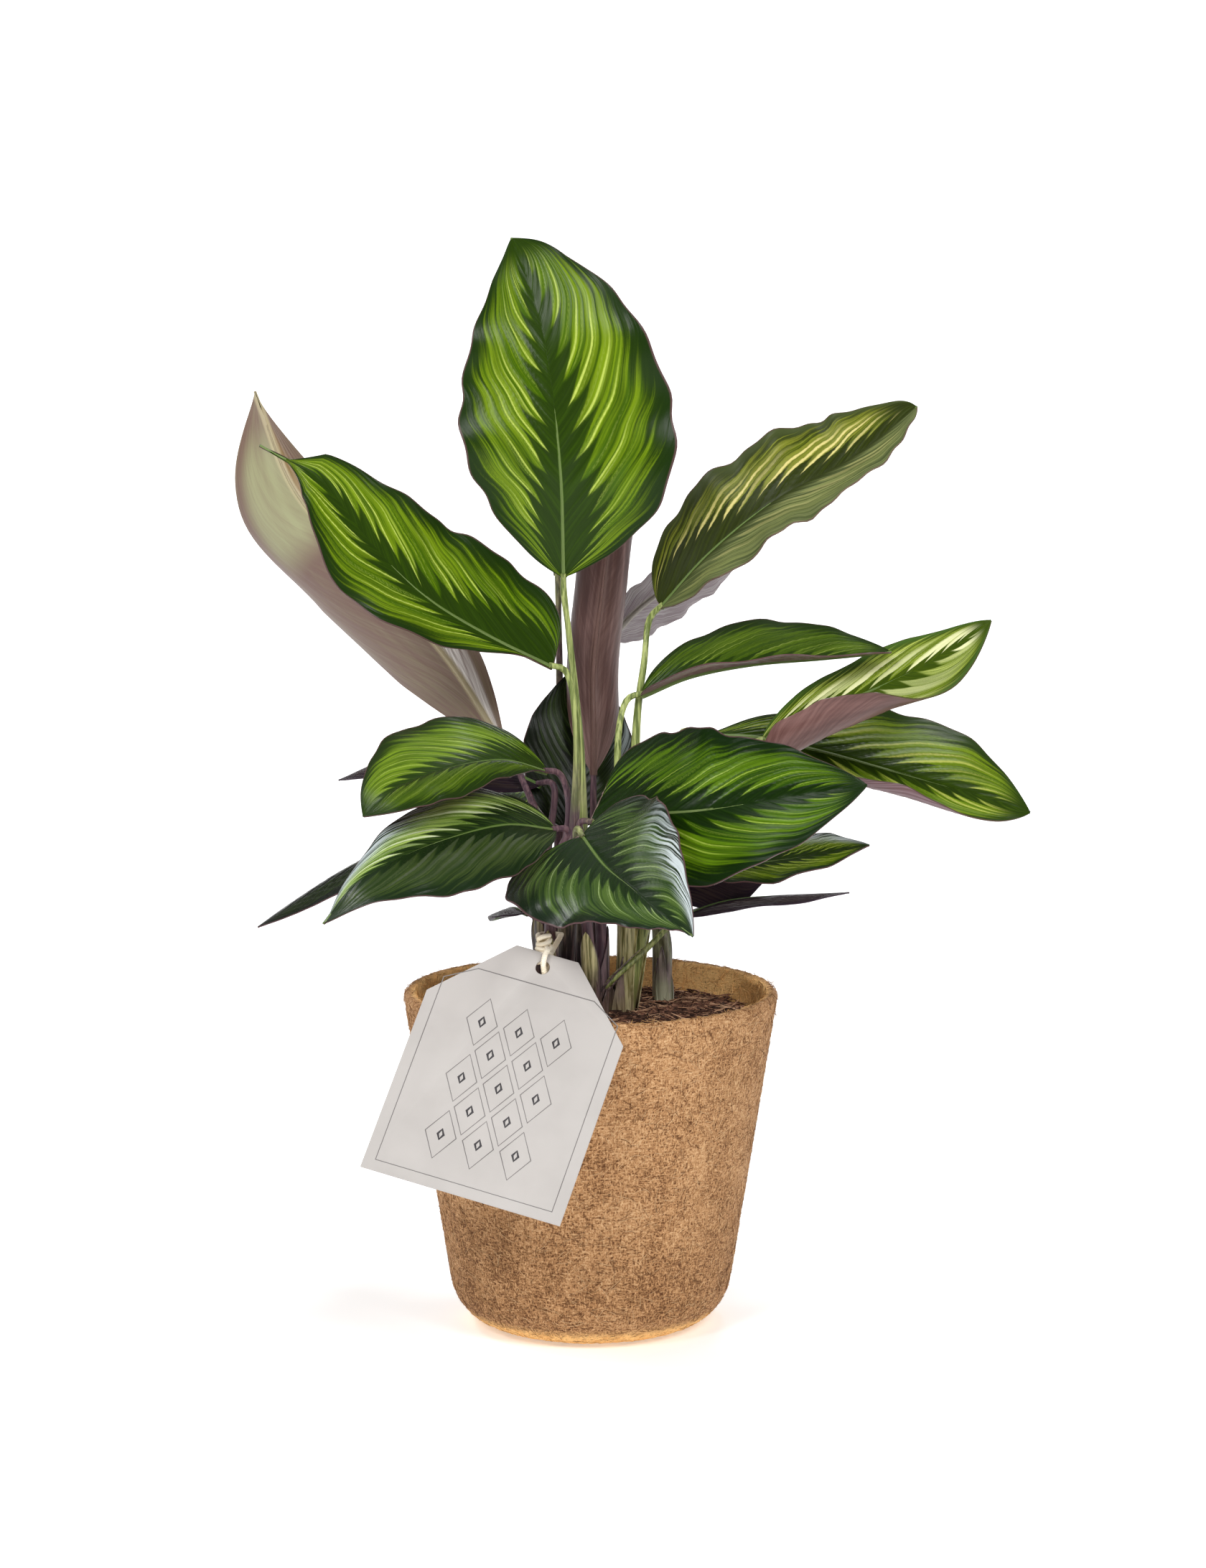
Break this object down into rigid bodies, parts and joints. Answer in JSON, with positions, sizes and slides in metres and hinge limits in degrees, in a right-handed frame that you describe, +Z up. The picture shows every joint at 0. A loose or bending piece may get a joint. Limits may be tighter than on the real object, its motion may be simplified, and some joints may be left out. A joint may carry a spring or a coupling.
{
  "type": "potted peacock calathea",
  "caption": "Leafy prayer plant with feather-striped blades on slim stalks, standing in a tapered coir pot, with a card tag on twine.",
  "frame": {"origin": "centre of the pot's flat underside, on the surface it stands on", "axes": "+Z up along the pot's axis, -Y towards the front where the tag hangs, +X to the right as seen from the front"},
  "size_m": [0.2981, 0.2158, 0.4044],
  "materials": {
    "coir": "matt pressed coconut fibre with fine dark and pale strands",
    "soil": "matt dark coir and peat mix, loose strands on top",
    "leaf": "glossy upper face: lime feather bands with cream stripes on dark green; satin underside",
    "leaf_rolled": "satin mauve-brown and beige-green underside of rolled young blades",
    "stalk": "satin pale yellow-green stalks, duller at the sheaths",
    "stalk_purple": "satin purple-green stalks",
    "card": "matt white card with thin grey line design",
    "twine": "matt twisted cream twine"
  },
  "bodies": {
    "root": {"pot": "coir", "soil": "soil", "shoot_left": "stalk", "shoot_front_left": "stalk", "shoot_centre": "stalk", "shoot_right": "stalk", "shoot_front": "stalk", "shoot_back": "stalk", "shoot_side": "stalk_purple", "leaf_top": "leaf", "leaf_upper_right": "leaf", "leaf_upper_left": "leaf", "leaf_rolled_left": "leaf_rolled", "leaf_rolled_centre": "leaf_rolled", "leaf_left_shoulder": "leaf", "leaf_behind_left": "leaf", "leaf_lower_left": "leaf", "leaf_low_left_back": "leaf", "leaf_front": "leaf", "leaf_middle_right": "leaf", "leaf_far_right": "leaf", "leaf_folded_right": "leaf", "leaf_arching_right": "leaf", "leaf_behind_upper_right": "leaf_rolled", "leaf_back_centre": "leaf", "leaf_lower_right": "leaf", "leaf_dark_right": "leaf", "leaf_slender_right": "leaf", "leaf_low_left_tip": "leaf", "leaf_back_right": "leaf", "leaf_back_left": "leaf", "leaf_back_top": "leaf", "gift_tag": "card", "tag_twine": "twine"}
  },
  "joints": []
}
